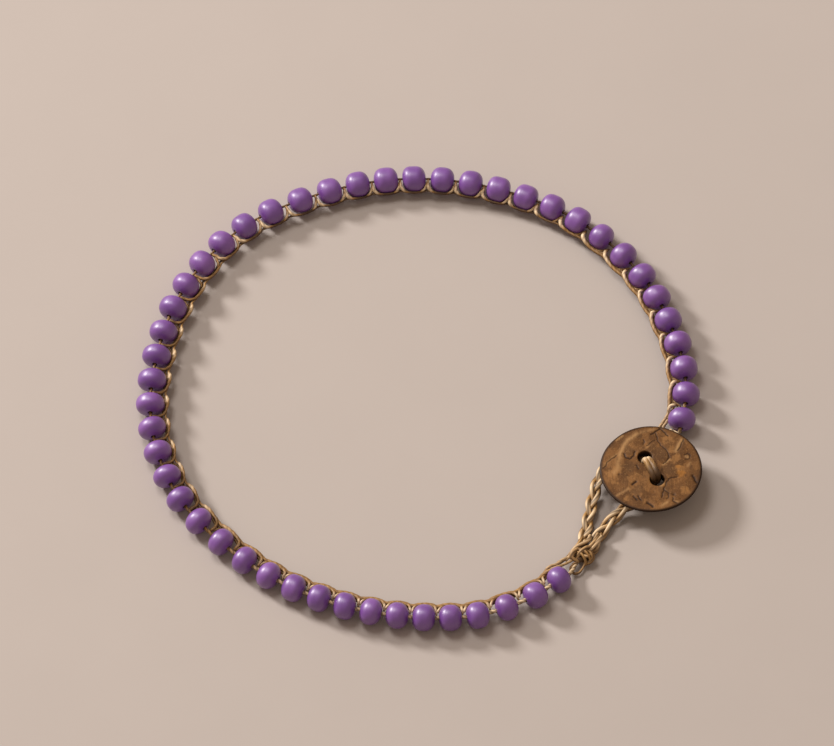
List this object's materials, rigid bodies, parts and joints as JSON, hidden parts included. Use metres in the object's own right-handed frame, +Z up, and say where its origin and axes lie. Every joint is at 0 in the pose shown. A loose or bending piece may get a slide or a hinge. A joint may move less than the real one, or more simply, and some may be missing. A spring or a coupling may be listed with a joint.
{
  "type": "beaded anklet",
  "caption": "Closed anklet of drilled barrel beads on a thread, tied by a crocheted chain, with a plaited cord loop slipped over a round shell button.",
  "frame": {"origin": "on the surface the anklet lies on, below the middle of its bounding box", "axes": "+Z up from the surface, +X from the middle of the ring towards the side with the button, +Y away from the viewer"},
  "size_m": [0.083, 0.0808, 0.0056],
  "materials": {
    "bead": "satin opaque purple",
    "cord": "waxed tan cord",
    "shell": "polished dark brown shell"
  },
  "bodies": {
    "root": {"bead_01": "bead", "bead_02": "bead", "bead_03": "bead", "bead_04": "bead", "bead_05": "bead", "bead_06": "bead", "bead_07": "bead", "bead_08": "bead", "bead_09": "bead", "bead_10": "bead", "bead_11": "bead", "bead_12": "bead", "bead_13": "bead", "bead_14": "bead", "bead_15": "bead", "bead_16": "bead", "bead_17": "bead", "bead_18": "bead", "bead_19": "bead", "bead_20": "bead", "bead_21": "bead", "bead_22": "bead", "bead_23": "bead", "bead_24": "bead", "bead_25": "bead", "bead_26": "bead", "bead_27": "bead", "bead_28": "bead", "bead_29": "bead", "bead_30": "bead", "bead_31": "bead", "bead_32": "bead", "bead_33": "bead", "bead_34": "bead", "bead_35": "bead", "bead_36": "bead", "bead_37": "bead", "bead_38": "bead", "bead_39": "bead", "bead_40": "bead", "bead_41": "bead", "bead_42": "bead", "bead_43": "bead", "bead_44": "bead", "bead_45": "bead", "bead_46": "bead", "bead_47": "bead", "bead_48": "bead", "bead_49": "bead", "bead_thread": "cord", "crochet_chain": "cord", "coconut_button": "shell", "button_stitch": "cord", "button_loop": "cord", "loop_knot": "cord"}
  },
  "joints": []
}
